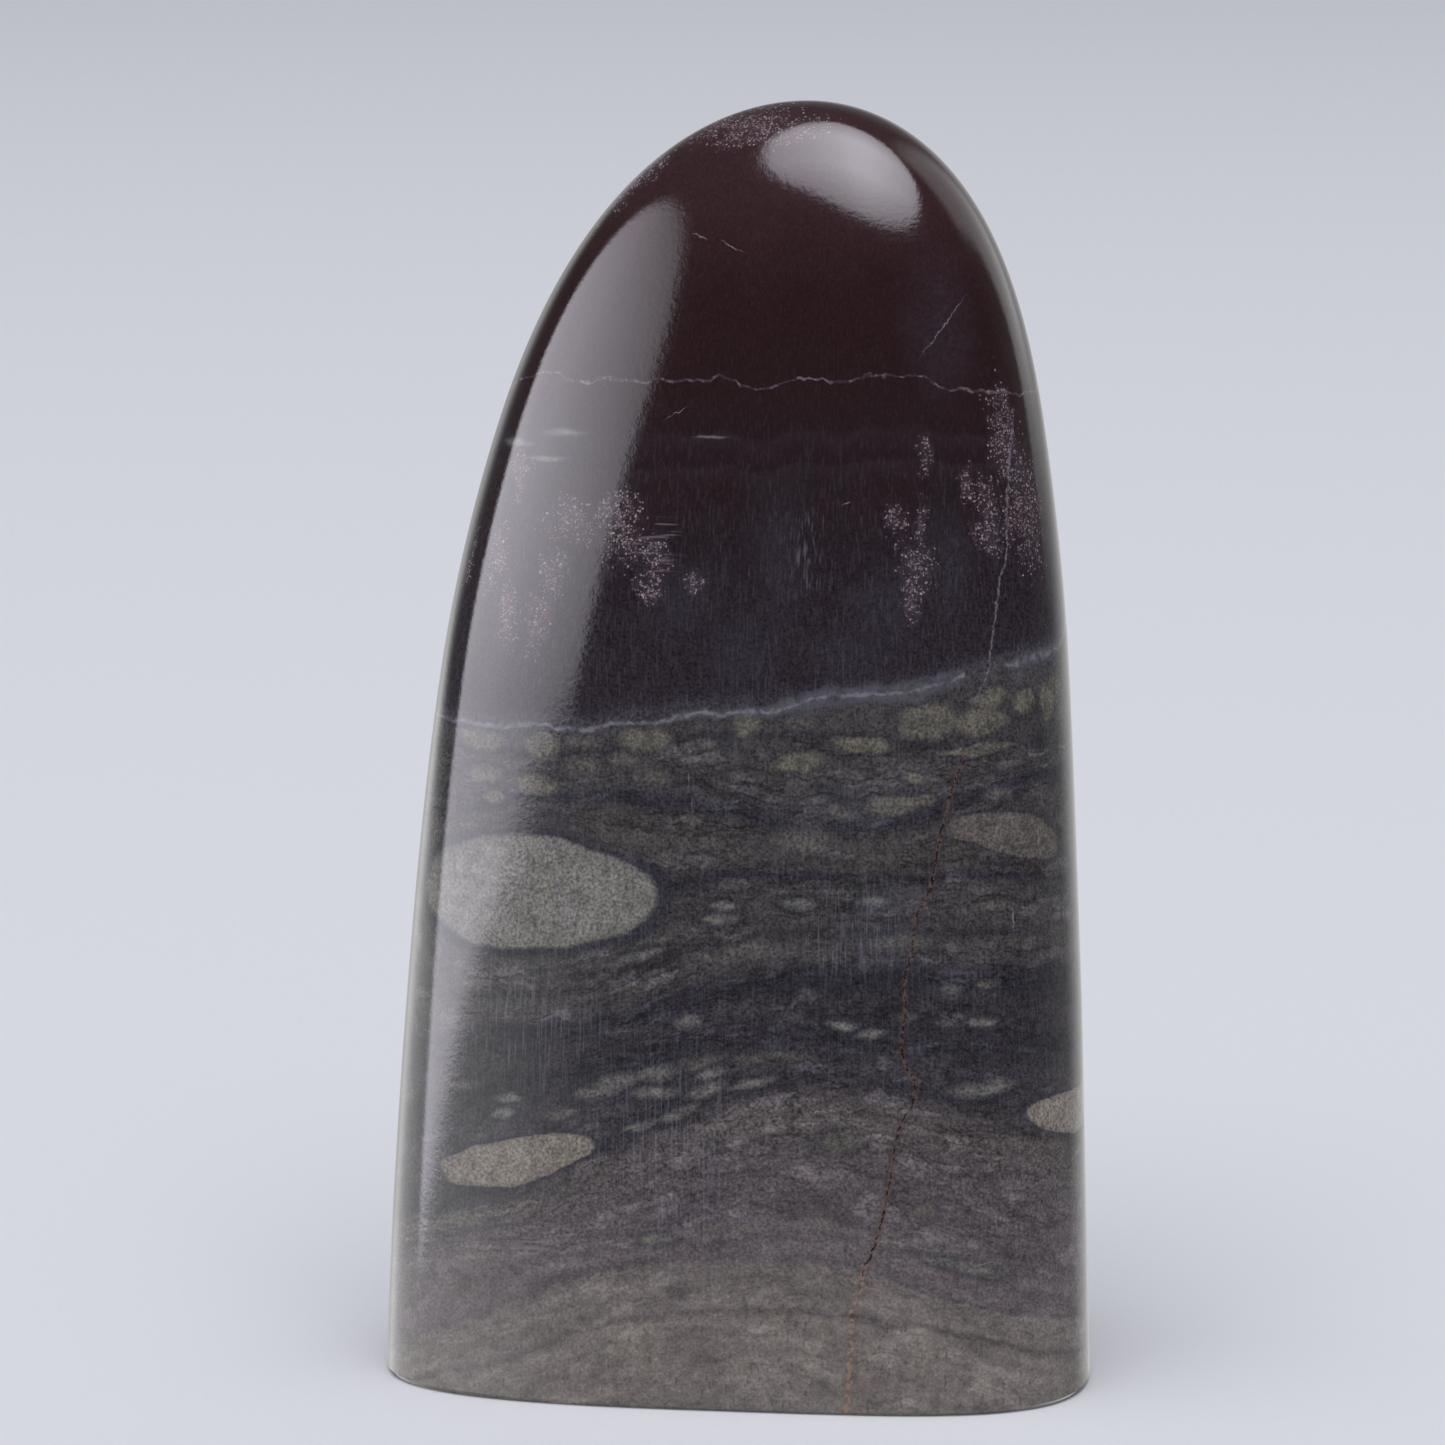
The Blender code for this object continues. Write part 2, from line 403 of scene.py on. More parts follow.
# x and height of the middle, half width, half height, and the tilt that lifts the right end
Pebble = namedtuple("Pebble", "x z wide high tilt")
GREEN_PEBBLES = [Pebble(-7.4, 52.2, 2.3, 0.95, 3), Pebble(0.4, 53.6, 1.2, 1.0, 0),
                 Pebble(9.2, 52.2, 2.5, 0.7, -3), Pebble(4.3, 50.8, 2.3, 0.8, 8),
                 Pebble(14.1, 53.9, 2.6, 1.4, 4), Pebble(18.3, 53.9, 2.3, 1.2, 5),
                 Pebble(19.0, 55.7, 1.5, 0.8, 10), Pebble(21.6, 55.2, 1.3, 0.9, 0),
                 Pebble(24.0, 55.7, 1.3, 1.2, 0), Pebble(18.2, 51.7, 3.1, 0.45, 5),
                 Pebble(-19.7, 49.0, 1.9, 0.7, 0), Pebble(-15.7, 48.4, 1.9, 0.95, 0),
                 Pebble(-19.9, 51.5, 2.5, 0.8, 0), Pebble(-15.4, 51.5, 1.7, 0.9, 0),
                 Pebble(-19.0, 47.2, 1.0, 0.5, 0), Pebble(23.4, 54.8, 1.2, 1.6, 0),
                 Pebble(11.5, 47.5, 2.2, 0.8, 8), Pebble(14.0, 48.0, 1.2, 0.5, 4),
                 Pebble(13.2, 49.6, 0.9, 0.5, 0)]
DULL_PEBBLES = [Pebble(-12.1, 49.9, 1.9, 0.9, 0), Pebble(-12.2, 52.0, 1.6, 0.6, 0),
                Pebble(-9.0, 50.6, 1.3, 0.6, 0), Pebble(-6.8, 49.3, 1.6, 0.75, 0),
                Pebble(20.5, 50.4, 1.6, 0.4, 4), Pebble(19.7, 48.2, 1.5, 0.5, 3),
                Pebble(7.5, 47.0, 1.3, 0.7, 0), Pebble(-2.7, 52.0, 0.8, 0.45, 0),
                Pebble(4.5, 53.8, 1.4, 0.6, 0), Pebble(-5.4, 43.3, 1.0, 0.65, 0),
                Pebble(-2.2, 44.4, 1.0, 0.65, 0), Pebble(19.5, 39.6, 1.8, 0.4, 0),
                Pebble(12.6, 31.3, 1.0, 0.4, 0), Pebble(15.7, 30.8, 0.7, 0.3, 0),
                Pebble(18.9, 33.7, 1.0, 0.4, 0), Pebble(16.0, 33.4, 1.1, 0.4, 0),
                Pebble(-21.4, 14.1, 2.2, 0.75, 0), Pebble(3.0, 16.5, 1.9, 0.25, 0),
                Pebble(13.9, 16.2, 1.2, 0.75, 0), Pebble(-2.2, 21.0, 0.8, 0.5, 0),
                Pebble(7.5, 21.5, 2.3, 0.8, 5), Pebble(-24.5, 19.8, 1.1, 0.35, 10),
                Pebble(-13.3, 17.2, 1.1, 0.5, 20), Pebble(-4.8, 9.4, 0.8, 0.6, 0),
                Pebble(-11.2, 21.3, 1.1, 0.35, 15), Pebble(-6.0, 36.9, 0.7, 0.4, 10),
                Pebble(-3.4, 27.3, 2.0, 0.65, 12), Pebble(0.6, 27.8, 1.5, 0.5, 8),
                Pebble(3.7, 28.1, 2.5, 0.45, -5), Pebble(-13.8, 23.0, 1.6, 0.5, 12),
                Pebble(-21.5, 24.6, 1.5, 0.4, 8), Pebble(0.5, 36.0, 4.0, 0.8, 6),
                Pebble(12.0, 37.0, 3.0, 0.7, 0), Pebble(4.5, 44.8, 3.2, 1.0, 3)]
PALE_PEBBLES = [Pebble(-1.3, 39.6, 1.2, 0.4, 3), Pebble(-1.5, 38.6, 1.6, 0.5, 5),
                Pebble(4.3, 39.9, 1.5, 0.45, -2), Pebble(10.1, 40.1, 1.4, 0.5, 2),
                Pebble(-8.1, 35.4, 2.4, 0.45, 18), Pebble(-4.0, 30.6, 1.2, 0.55, 8),
                Pebble(7.8, 30.6, 1.4, 0.42, -5), Pebble(10.0, 29.9, 1.3, 0.4, 8),
                Pebble(18.5, 30.8, 1.3, 0.45, 0), Pebble(18.5, 25.6, 3.0, 0.7, 3),
                Pebble(-6.9, 13.4, 1.9, 0.45, 2), Pebble(17.3, 11.7, 3.5, 0.5, -15),
                Pebble(-18.0, 23.9, 1.3, 0.45, 5), Pebble(-18.3, 22.7, 1.1, 0.4, 5),
                Pebble(-10.1, 25.4, 2.8, 0.8, 18), Pebble(-6.6, 26.4, 1.9, 0.65, 10),
                Pebble(-2.3, 26.6, 1.3, 0.5, 20), Pebble(-6.6, 24.9, 2.1, 0.55, 5),
                Pebble(-2.8, 25.2, 1.8, 0.6, 20), Pebble(0.9, 25.9, 2.0, 0.45, 15),
                Pebble(-7.8, 22.3, 1.6, 0.45, 15), Pebble(-4.8, 23.4, 1.7, 0.5, 25),
                Pebble(-13.6, 75.3, 1.8, 0.3, 0), Pebble(-17.6, 74.3, 2.4, 0.45, 3),
                Pebble(-15.0, 73.2, 1.8, 0.25, 4), Pebble(-2.3, 75.3, 1.3, 0.12, 0)]
# How pointed the ends are: 0 is an ellipse
ROUND, LENS = 0.2, 0.55
# Depth into the stone as a share of the half width
PEBBLE_DEPTH, TRACED_DEPTH = 0.8, 2.2
FAR = 1000.0

# How the small pebbles show. The distance is 1 at the edge: the halo runs from halo_out to halo_in and
# is halo strong, the filling runs from rim to core and covers cover of what lies under it.
Kind = namedtuple("Kind", "members pointed broken halo_out halo_in halo halo_tone rim core cover dark light")
PEBBLE_KINDS = [
    Kind(DULL_PEBBLES, LENS, 0.0, 1.5, 1.05, 0.35, (46, 46, 51),
         1.25, 0.55, 0.75, (70, 69, 68), (90, 88, 84)),
    Kind(GREEN_PEBBLES, ROUND, 0.3, 1.5, 1.0, 0.35, (48, 48, 52),
         1.18, 0.68, 0.85, (74, 73, 68), (97, 95, 87)),
    Kind(PALE_PEBBLES, LENS, 0.0, 1.6, 1.05, 0.5, (44, 44, 50),
         1.2, 0.6, 0.9, (78, 78, 78), (104, 103, 99))]

# The largest pebbles, with their outlines, (angle in degrees, distance as a share of the half sizes),
# then how dark the halo is, and two tones
Traced = namedtuple("Traced", "pebble outline halo dark light")
BIG_OUTLINE = [(-180, 1.05), (-150, 1.15), (-120, 1.13), (-90, 0.95), (-60, 0.92), (-30, 0.96), (0, 1.0),
               (30, 0.95), (60, 0.86), (90, 0.95), (120, 0.99), (150, 1.04), (180, 1.05)]
LOW_OUTLINE = [(-180, 1.06), (-150, 1.04), (-120, 0.93), (-90, 0.96), (-60, 0.80), (-30, 0.83), (0, 1.01),
               (30, 1.08), (60, 1.05), (90, 0.98), (120, 0.98), (150, 1.10), (180, 1.06)]
RIGHT_OUTLINE = [(-180, 0.92), (-159, 1.06), (-142, 1.12), (-131, 0.93), (-96, 0.85), (-62, 0.96),
                 (-36, 1.08), (12, 1.02), (49, 1.2), (75, 1.3), (95, 1.0), (130, 0.82), (180, 0.92)]
ELLIPSE = [(-180, 1.0), (-90, 1.0), (90, 1.0), (180, 1.0)]
TRACED_PEBBLES = [
    Traced(Pebble(-15.2, 40.2, 8.95, 4.64, 0), BIG_OUTLINE, 0.75, (90, 90, 86), (114, 114, 110)),
    Traced(Pebble(-17.2, 19.0, 5.83, 1.95, 12), LOW_OUTLINE, 0.7, (94, 90, 85), (120, 115, 107)),
    Traced(Pebble(20.2, 45.0, 4.5, 1.7, -18), RIGHT_OUTLINE, 0.5, (72, 69, 67), (92, 88, 85)),
    Traced(Pebble(26.0, 22.5, 4.7, 1.7, -12), ELLIPSE, 0.7, (98, 94, 89), (122, 117, 110))]
LARGE_HALO = (46, 46, 54)

# Veins, crack and marks

# Half thickness of the white vein along the boundary, (x, mm), and the least that counts
VEIN_THICKNESS = [(-30, 0.2), (-21, 0.2), (-14, 0.2), (-8, 0.2), (-4, 0.25), (0, 0.3), (4, 0.5),
                  (8, 0.6), (14, 0.65), (16.4, 0.4), (17.2, 0.03), (19.8, 0.03), (20.6, 0.28),
                  (24.8, 0.34), (30, 0.34)]
THINNEST_VEIN = 0.02
# The crack down the right of the front: (height, x) in mm
CRACK = [(-2, 8.0), (0.5, 8.1), (3.1, 8.4), (6.8, 8.5), (8.4, 8.6), (10.1, 9.2), (11.5, 9.4),
         (12.5, 9.9), (14.1, 10.5), (15.8, 10.9), (18.2, 11.4), (23.0, 12.3), (24.4, 13.1),
         (26.1, 13.3), (27.8, 12.5), (29.6, 12.3), (31.9, 12.6), (34.1, 12.5), (36.5, 13.1),
         (39.0, 13.3), (40.2, 14.1), (43.4, 14.9), (45.1, 15.2), (47.1, 15.7), (49.1, 16.2),
         (51.6, 17.2), (56.1, 18.1), (57.0, 18.7), (59.0, 19.0), (61.6, 19.4), (64.3, 19.7),
         (65.8, 20.2), (67.7, 20.3), (70.6, 20.3), (73.3, 20.5), (77.2, 20.9), (80, 21.0)]
CRACK_LOW, CRACK_HIGH = -2.0, 80.0
# Pits on the crack, painted as dark shade, and pale threads and short scratches
PITS = [Pebble(10.5, 14.1, 0.22, 0.35, 0), Pebble(9.9, 12.5, 0.2, 0.3, 0),
        Pebble(11.3, 17.4, 0.12, 0.3, 0)]
THREADS = [Pebble(-4.0, 49.2, 0.07, 0.7, 0), Pebble(-3.75, 47.3, 0.07, 0.8, 0),
           Pebble(22.8, 44.6, 0.08, 1.0, 0), Pebble(20.9, 38.6, 0.07, 1.3, 0),
           Pebble(-3.1, 90.2, 0.6, 0.05, -18), Pebble(-0.6, 89.5, 0.9, 0.05, -25),
           Pebble(-5.0, 77.0, 0.9, 0.04, 30), Pebble(15.4, 83.6, 1.8, 0.07, 52),
           Pebble(8.0, 70.4, 0.3, 0.04, 20), Pebble(9.0, 5.4, 1.1, 0.05, 3),
           Pebble(2.4, 9.6, 1.0, 0.05, 2), Pebble(18.6, 11.9, 0.9, 0.05, 6)]
# Upright soft patches of speckles
SPECKLED = [Pebble(0.5, 98.2, 5.5, 1.5, 0), Pebble(-7.8, 94.3, 3.0, 1.0, 45),
            Pebble(20.2, 75.5, 1.5, 4.5, 0), Pebble(21.6, 70.0, 1.9, 5.0, -4),
            Pebble(22.9, 67.0, 0.5, 5.0, -4), Pebble(19.0, 68.8, 1.3, 3.0, 0),
            Pebble(17.4, 71.9, 0.7, 1.6, 0), Pebble(11.7, 69.3, 0.9, 1.7, 0),
            Pebble(13.8, 69.0, 0.6, 2.2, 0), Pebble(13.2, 66.0, 1.2, 1.8, 0),
            Pebble(12.9, 63.3, 0.7, 2.0, 0), Pebble(13.9, 74.2, 0.6, 1.6, 0),
            Pebble(-9.5, 69.6, 2.0, 1.6, 0), Pebble(-9.0, 67.4, 1.5, 1.8, 0),
            Pebble(-6.8, 66.0, 1.4, 1.5, 0), Pebble(-6.9, 63.8, 1.3, 1.1, 0),
            Pebble(-3.4, 64.2, 1.0, 0.9, 0), Pebble(-13.0, 68.6, 2.2, 1.7, 0),
            Pebble(-14.6, 64.5, 1.3, 2.4, 0), Pebble(-15.6, 61.0, 1.2, 2.8, 0),
            Pebble(-17.9, 61.5, 0.9, 3.2, 0), Pebble(-18.8, 65.5, 1.0, 3.2, 0),
            Pebble(-20.9, 64.5, 0.6, 5.0, 0), Pebble(-17.0, 72.0, 1.0, 2.0, 0)]
# Painted sheen: soft bluish patches of reflection, painted into the colour
PAINTED_SHEEN_PATCHES = [Pebble(0, 59.3, 2.6, 2.4, 0), Pebble(8.2, 59.2, 2.6, 1.8, 0), Pebble(15.3, 84.0, 2.2, 5.5, 15),
        Pebble(-14.8, 46.4, 2.2, 1.4, 0), Pebble(9.1, 48.1, 3.2, 1.4, 0),
        Pebble(11.4, 37.8, 2.8, 2.6, 0), Pebble(11.0, 62.6, 2.4, 2.6, 0),
        Pebble(-4.5, 62.8, 2.6, 2.4, 20), Pebble(15.8, 66.0, 1.4, 4.0, 0),
        Pebble(3.0, 66.5, 2.0, 5.0, 0), Pebble(-1.0, 52.5, 1.5, 1.0, 0)]
# Patches rubbed by polishing: upright, in short level strokes, and hatched at a slant
RUBBED = [Pebble(-5.5, 20.5, 5.5, 8.0, 0), Pebble(8.5, 38.0, 4.0, 3.6, 0),
          Pebble(-15.0, 40.0, 7.5, 4.5, 0), Pebble(-16.0, 30.0, 6.0, 5.0, 0),
          Pebble(5.3, 66.8, 1.2, 3.2, 0)]
SCUFFED = [Pebble(-16.6, 12.2, 2.0, 2.0, 0)]
HATCHED = [Pebble(-6.3, 66.8, 1.9, 2.6, 0)]
STROKES = [(SCUFFED, 6.0), (HATCHED, -52.0)]

# Tones, as the photograph shows them
FLECK = (66, 56, 54)
VEIN_CLOUD, VEIN_THREAD, WAVY_VEIN = (82, 84, 93), (116, 115, 122), (104, 96, 106)
SPECKLE_CLOUD, SPECKLE_DARK, SPECKLE_LIGHT = (80, 74, 86), (100, 78, 76), (150, 140, 146)
RUST_DARK, RUST_LIGHT = (92, 70, 62), (142, 118, 102)
# The crack's core and pit tones are painted shade of the open crack and its holes
CRACK_SIDES, CRACK_CORE_SHADE, PALE_HAIR, PIT_SHADE = (48, 42, 44), (22, 16, 16), (100, 98, 108), (16, 12, 12)
# The second tone here is a painted bluish sheen, a reflection laid into the colour
THREAD, PAINTED_SHEEN_TONE, UPRIGHT_LINE, STROKE = (118, 114, 122), (70, 73, 88), (122, 122, 138), (124, 122, 130)

# The front face lies between these depths, y in mm
FRONT_FROM, FRONT_TO = -2.0, -8.0
# How far the pattern strays, in mm: loosely away from the front, and raggedly and in crumbs everywhere
LOOSE, RAGGED, CRUMBLY = 7.0, 1.1, 0.5
# Strengths of the streaks, the mottling and the grain, as shares of the colour
STREAKY, MOTTLED, GRITTY = 0.32, 0.2, 0.55
# The pressed grains: how flat they are, and how many per mm
FLATNESS, LUMPS_PER_MM = 3.0, 0.36
# Dark wisps along the layers: how many per mm, and how dark
WISPS = [(0.11, -0.42), (0.26, -0.30)]
DOTS_PER_MM = 5.2
# How noise is drawn out, per mm: upright lines, level strokes and flecks
UPRIGHT_LINES, STROKE_SCALE, FLECK_SCALE = (6.5, 6.5, 0.13), (0.35, 0.35, 4.2), (1.0, 1.0, 0.45)
# Roughness of the polish where it is best, and what the grain, a dot and the crack's crust add
POLISH, GRAIN_ROUGH, DOT_ROUGH, CRUST_ROUGH = 0.075, 0.03, 0.22, 0.3
BUMP_STRENGTH, BUMP_HEIGHT = 0.35, 0.00002
IOR = 1.54


def front_depth(x, z):
    """The front face's y in mm, at x and height z in mm."""
    level = z * MM / HEIGHT
    right, left = reach(RIGHT, level), -reach(LEFT, level)
    along = ((x - SHIFT_X) * MM - (right + left) / 2.0) / ((right - left) / 2.0)
    along = max(-1.0, min(1.0, along))
    across = (1.0 - abs(along) ** squareness_at(level)) ** (1.0 / squareness_at(level))
    return -reach(FRONT, level) * (1.0 + FRONT_WEDGE * along) * across / MM + SHIFT_Y


class Jade(Wires):
    """The stone's pattern: places in the stone, then its colour, laid on in steps."""

    def __init__(self, tree):
        super().__init__(tree)
        coords = self.node("ShaderNodeTexCoord")
        self.place = self.scaled(coords.outputs["Object"], 1.0 / MM)
        self.x, self.y, self.z = self.split(self.place)
        # 1 on the front face, 0 on the back and in the middle of the sides
        self.front = self.spread(self.y, FRONT_FROM, FRONT_TO)
        away = self.spread(self.front, 0.0, 1.0, LOOSE, 0.0, smooth=False)
        loose = self.wobble(self.place, 0.06, away, 1.0)
        self.ragged = self.wobble(self.place, 0.45, RAGGED)
        self.near = self.vector("ADD", self.place, self.wobble(self.place, 1.8, CRUMBLY))
        bent = self.split(self.vector("ADD", self.vector("ADD", self.near, loose), self.ragged))
        self.across = self.spread(bent["X"], ACROSS_LOW, ACROSS_HIGH, smooth=False)
        self.height = self.math("DIVIDE", bent["Z"], CURVE_UNIT)
        self.layer = self.layer_height()
        # Where the pebbles and where the stains are looked up
        self.soft = self.vector("ADD", self.vector("ADD", self.place, loose), self.scaled(self.ragged, 0.6))
        self.stained = self.vector("ADD", self.place, self.scaled(self.ragged, 2.6))
        self.mottle = self.noise(self.place, 0.9, 4.0, 0.65)
        self.crumbs = self.noise(self.place, 2.6, 2.0, 0.6)
        self.grain = self.noise(self.place, 4.5, 1.0)

    def paint(self, amount, tone):
        """Cover an amount of the colour with a tone of the photograph, or with a colour socket."""
        self.colour = self.mix(amount, self.colour, tint(*tone) if isinstance(tone, tuple) else tone)

    def tone(self, gain):
        """Lighten or darken the colour by a share of itself."""
        self.colour = self.shade(self.colour, gain)

    def blend(self, amount, dark, light):
        return self.mix(amount, tint(*dark), tint(*light))

    def across_line(self, points):
        return self.line(self.across, points, ACROSS_LOW, ACROSS_HIGH)

    def layer_height(self):
        """Height in the stone's layers: equal along each of LAYER_LINES, and even in between."""
        lower_mm, points = LAYER_LINES[0]
        lower = self.across_line(points)
        below = self.math("MINIMUM", self.math("SUBTRACT", self.height, lower), 0.0)
        total = self.math("MULTIPLY_ADD", below, CURVE_UNIT, lower_mm)
        for upper_mm, points in LAYER_LINES[1:]:
            upper = self.across_line(points)
            rise = self.spread(self.height, lower, upper, 0.0, upper_mm - lower_mm, smooth=False)
            total = self.math("ADD", total, rise)
            lower, lower_mm = upper, upper_mm
        above = self.math("MAXIMUM", self.math("SUBTRACT", self.height, lower), 0.0)
        return self.math("MULTIPLY_ADD", above, CURVE_UNIT, total)

    def nearest(self, place, members, pointed=0.0, depth_share=1.0):
        """Distance to the nearest of some patches on the front face, 1 at its edge."""
        x, y, z = self.split(place)
        nearest = FAR
        for tilt in sorted({member.tilt for member in members}):
            # A tilted patch is a level one in a space that is sheared upright
            slope = math.tan(math.radians(tilt))
            sheared = self.joined(x, y, self.math("MULTIPLY_ADD", x, -slope, z))
            for patch in [member for member in members if member.tilt == tilt]:
                centre = (patch.x, front_depth(patch.x, patch.z), patch.z - slope * patch.x)
                sizes = (patch.wide, patch.wide * depth_share, patch.high)
                distance = self.lens(sheared, centre, sizes, pointed)
                nearest = self.math("MINIMUM", distance, nearest)
        return nearest

    def traced(self, member):
        """Distance to one pebble, 1 at its edge, where its radius follows the angle around its middle."""
        pebble = member.pebble
        slope = math.tan(math.radians(pebble.tilt))
        x, y, z = self.split(self.soft)
        upright = self.math("MULTIPLY_ADD", x, -slope, z)
        right = self.math("DIVIDE", self.math("SUBTRACT", x, pebble.x), pebble.wide)
        above = self.math("DIVIDE", self.math("SUBTRACT", upright, pebble.z - slope * pebble.x), pebble.high)
        behind = self.math("SUBTRACT", y, front_depth(pebble.x, pebble.z))
        behind = self.math("DIVIDE", behind, pebble.wide * TRACED_DEPTH)
        angle = self.spread(self.math("ARCTAN2", above, right), -math.pi, math.pi, smooth=False)
        radius = self.math("MULTIPLY", self.line(angle, member.outline, -180.0, 180.0), CURVE_UNIT)
        return self.math("DIVIDE", self.vector("LENGTH", self.joined(right, above, behind)), radius)

    def layers(self):
        """The plain colours of the layers."""
        self.colour = self.ramp(self.layer, LOW_LAYERS)
        for stops in (MIDDLE_LAYERS, HIGH_LAYERS):
            self.paint(self.math("GREATER_THAN", self.layer, stops[0][0]), self.ramp(self.layer, stops))

    def fabric(self):
        """Grains pressed flat along the layers, dark seams between them, wisps and mottling."""
        flat = self.joined(self.x, self.y, self.math("MULTIPLY", self.layer, FLATNESS))
        below_slate = self.spread(self.layer, 57.0, 53.5)
        strength = self.spread(below_slate, 0.0, 1.0, 0.2, 1.0, smooth=False)
        streaks = self.noise(flat, 0.16, 5.0, 0.7)
        self.tone(self.times(self.spread(streaks, 0.3, 0.7, -STREAKY, STREAKY, smooth=False), strength))
        # The grains are faint in the foot and right under the slate
        pebbly = self.times(below_slate, self.spread(self.layer, 12.0, 24.0, 0.35, 1.0),
                            self.spread(self.layer, 52.5, 53.3, 1.0, 0.35))
        lumpy = self.vector("ADD", flat, self.scaled(self.ragged, 1.6))
        chance = self.channels(self.cells(lumpy, LUMPS_PER_MM, output="Color"))
        lump = self.spread(self.cells(lumpy, LUMPS_PER_MM, feature="DISTANCE_TO_EDGE"), 0.0, 0.22)
        self.tone(self.times(self.spread(chance[0], 0.5, 0.95, -0.12, 0.62), lump, pebbly))
        seam = self.times(self.spread(lump, 0.0, 0.35, -0.22, 0.0), self.spread(streaks, 0.4, 0.6))
        self.tone(self.times(seam, pebbly))
        drawn = self.vector("MULTIPLY", flat, (1.0, 1.0, 1.6))
        for per_mm, dark in WISPS:
            wisp = self.apart(self.noise(drawn, per_mm, 3.0, 0.6), 0.5)
            self.tone(self.times(self.spread(wisp, 0.0, 0.035, dark, 0.0), pebbly))
        self.tone(self.times(self.spread(self.mottle, 0.3, 0.7, -MOTTLED, MOTTLED, smooth=False), strength))

    def small_pebbles(self):
        for kind in PEBBLE_KINDS:
            place = self.vector("ADD", self.soft, self.scaled(self.ragged, kind.broken))
            distance = self.nearest(place, kind.members, kind.pointed, PEBBLE_DEPTH)
            halo = self.times(self.spread(distance, kind.halo_out, kind.halo_in), kind.halo)
            self.paint(halo, kind.halo_tone)
            filling = self.blend(self.spread(self.mottle, 0.35, 0.65), kind.dark, kind.light)
            self.paint(self.spread(distance, kind.rim, kind.core, 0.0, kind.cover), filling)

    def large_pebbles(self):
        """The traced pebbles. The layer lines part around the largest."""
        for member in TRACED_PEBBLES:
            distance = self.traced(member)
            self.paint(self.times(self.spread(distance, 1.25, 1.0), member.halo), LARGE_HALO)
            filling = self.blend(self.spread(self.mottle, 0.3, 0.7), member.dark, member.light)
            edge = self.times(self.spread(distance, 0.75, 1.0), 0.5)
            filling = self.mix(edge, filling, tint(*member.dark))
            self.paint(self.spread(distance, 1.035, 0.94), filling)

    def grit(self):
        """Fine grain over everything, and dark and rusty flecks in the lowest layers."""
        sandy = self.times(self.spread(self.layer, 76.0, 60.0, 0.25, 1.0),
                           self.spread(self.layer, 5.0, 24.0, 0.45, 1.0))
        self.tone(self.times(self.spread(self.grain, 0.25, 0.75, -GRITTY, GRITTY, smooth=False), sandy))
        fleck = self.noise(self.vector("MULTIPLY", self.place, FLECK_SCALE), 3.2, 2.0)
        flecks = self.times(self.spread(self.layer, 13.0, 7.0), self.spread(fleck, 0.60, 0.70, 0.0, 0.5))
        self.paint(flecks, FLECK)

    def beside(self, points):
        """Distance in mm above or below a line."""
        return self.math("MULTIPLY", self.apart(self.height, self.across_line(points)), CURVE_UNIT)

    def veins(self):
        """The white vein, a soft cloud with a fine line in it, and the thin wavy one in the red."""
        patchy = self.noise(self.place, 1.3, 3.0, 0.7)
        offset = self.beside(BOUNDARY)
        half = self.math("MULTIPLY", self.across_line(VEIN_THICKNESS), CURVE_UNIT)
        half = self.math("MAXIMUM", half, THINNEST_VEIN)
        present = self.spread(half, 0.04, 0.14)
        cloud = self.times(self.spread(self.math("DIVIDE", offset, half), 1.8, 0.35),
                           self.spread(patchy, 0.30, 0.62, 0.3, 1.0), present)
        self.paint(self.times(cloud, 0.72), VEIN_CLOUD)
        thread = self.times(self.spread(offset, 0.22, 0.05), self.spread(patchy, 0.38, 0.62, 0.1, 0.62),
                            present)
        self.paint(thread, VEIN_THREAD)
        thin = self.times(self.spread(self.beside(WAVY), 0.15, 0.03),
                          self.spread(patchy, 0.42, 0.62, 0.12, 0.8))
        self.paint(thin, WAVY_VEIN)

    def speckles(self):
        """Pinkish dots in upright patches, over a faint cloud."""
        patches = self.nearest(self.stained, SPECKLED)
        density = self.times(self.spread(patches, 1.5, 0.2), self.spread(self.mottle, 0.30, 0.56, 0.45, 1.1))
        chance = self.channels(self.cells(self.near, DOTS_PER_MM, output="Color"))
        self.dots = self.times(self.spread(self.cells(self.near, DOTS_PER_MM), 0.6, 0.22),
                               self.math("LESS_THAN", chance[0], density),
                               self.spread(chance[2], 0.0, 1.0, 0.3, 1.0))
        self.paint(self.times(density, 0.22), SPECKLE_CLOUD)
        self.paint(self.dots, self.blend(chance[1], SPECKLE_DARK, SPECKLE_LIGHT))

    def crack(self):
        """A rusty crust and a dark core up to the boundary, a pale hair above it, and the pits. The dark core
        and the pits are painted shade of the open crack and its holes.
        """
        upward = self.spread(self.z, CRACK_LOW, CRACK_HIGH, smooth=False)
        middle = self.math("MULTIPLY", self.line(upward, CRACK, CRACK_LOW, CRACK_HIGH), CURVE_UNIT)
        gap = self.apart(self.split(self.near)["X"], middle)
        # The crack stays on the front face
        gap = self.math("ADD", gap, self.spread(self.front, 1.0, 0.9, 0.0, 1.0))
        rusty = self.spread(self.z, 53.0, 50.0)
        wide = self.spread(self.z, 13.0, 28.0, 1.0, 0.62)
        self.crust = self.times(self.spread(self.math("DIVIDE", gap, wide), 0.42, 0.08),
                                self.spread(self.crumbs, 0.40, 0.60))
        rust = self.blend(self.spread(self.z, 15.0, 9.0), RUST_DARK, RUST_LIGHT)
        self.paint(self.times(self.crust, rusty, 0.8), rust)
        self.paint(self.times(self.spread(gap, 0.7, 0.1, 0.0, 0.22), rusty), CRACK_SIDES)
        # Painted shade: the open crack's dark core
        core = self.times(self.spread(gap, 0.11, 0.04), self.spread(self.z, 9.0, 13.0),
                          self.spread(self.crumbs, 0.60, 0.45))
        self.paint(self.times(core, rusty, 0.85), CRACK_CORE_SHADE)
        hair = self.times(self.spread(gap, 0.10, 0.03), self.spread(self.z, 55.0, 57.0),
                          self.spread(self.z, 79.0, 75.0), self.spread(self.crumbs, 0.35, 0.6, 0.2, 0.9))
        self.paint(hair, PALE_HAIR)
        # Painted shade in the pits
        self.paint(self.spread(self.nearest(self.near, PITS), 1.1, 0.6), PIT_SHADE)

